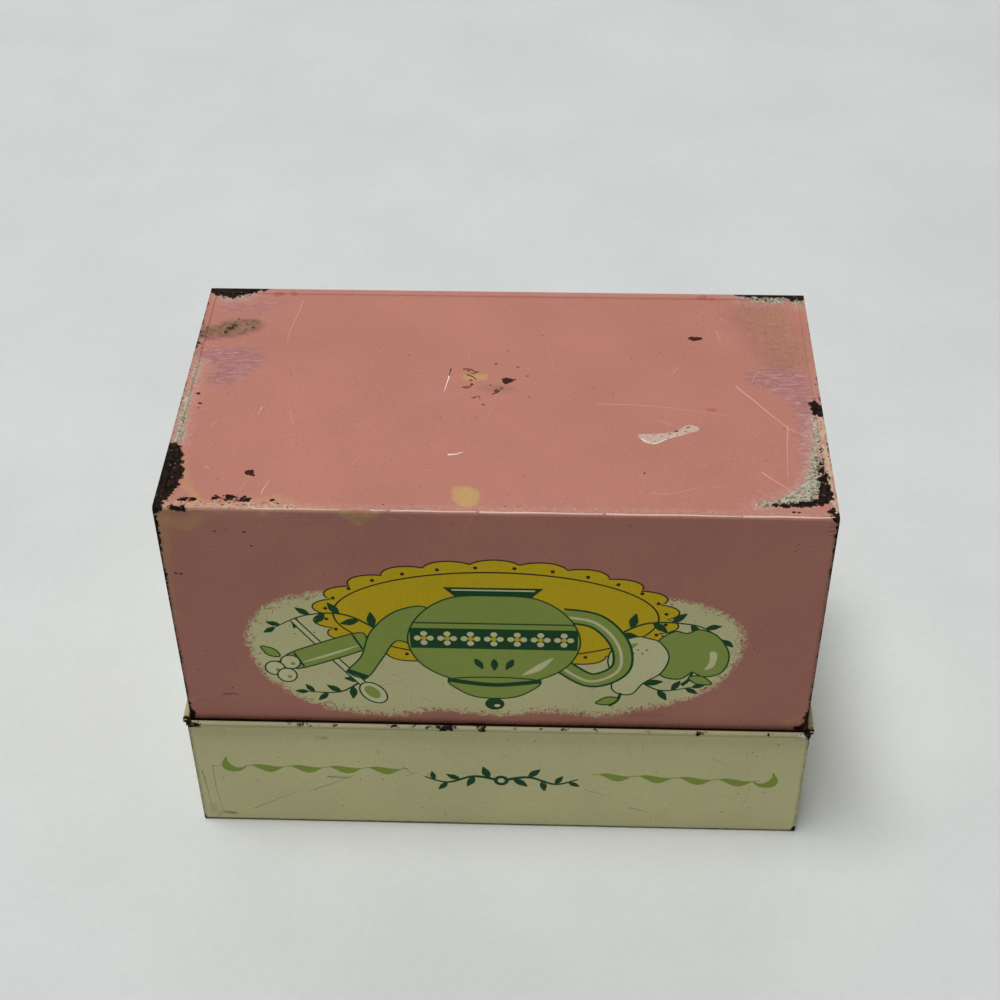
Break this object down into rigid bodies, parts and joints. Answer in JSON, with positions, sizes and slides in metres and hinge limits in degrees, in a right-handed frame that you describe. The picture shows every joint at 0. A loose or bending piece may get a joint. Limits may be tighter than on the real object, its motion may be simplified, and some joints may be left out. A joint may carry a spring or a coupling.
{
  "type": "recipe card box",
  "caption": "Rectangular printed tin box for recipe cards with a wire-hinged lid, standing upside down on its closed lid.",
  "frame": {"origin": "middle of the lid's flat outer top face, which is the face that the box stands on in the picture; z = 0 is the table", "axes": "+Z from the lid towards the underside of the box, so the box is upside down as pictured; -Y towards the decorated front; +X to the right as pictured; turn the part by 180 degrees about X or Y to stand it right way up on its own underside"},
  "size_m": [0.1366, 0.08, 0.095],
  "materials": {
    "pink_tin": "glossy printed tin, worn at the edges",
    "cream_tin": "glossy printed tin, worn at the rim",
    "steel_wire": "dull drawn wire"
  },
  "bodies": {
    "lid": {"lid_shell": "cream_tin", "lid_left_end": "cream_tin", "lid_right_end": "cream_tin", "hinge_wire": "steel_wire"},
    "box": {"box_shell": "pink_tin", "box_left_end": "pink_tin", "box_right_end": "pink_tin"}
  },
  "joints": [
    {"name": "lid_hinge", "type": "hinge", "parent": "lid", "child": "box", "pos_m": [0, 0.03745, 0.03404], "axis": [-1, 0, 0], "range_deg": [0, 108]}
  ]
}
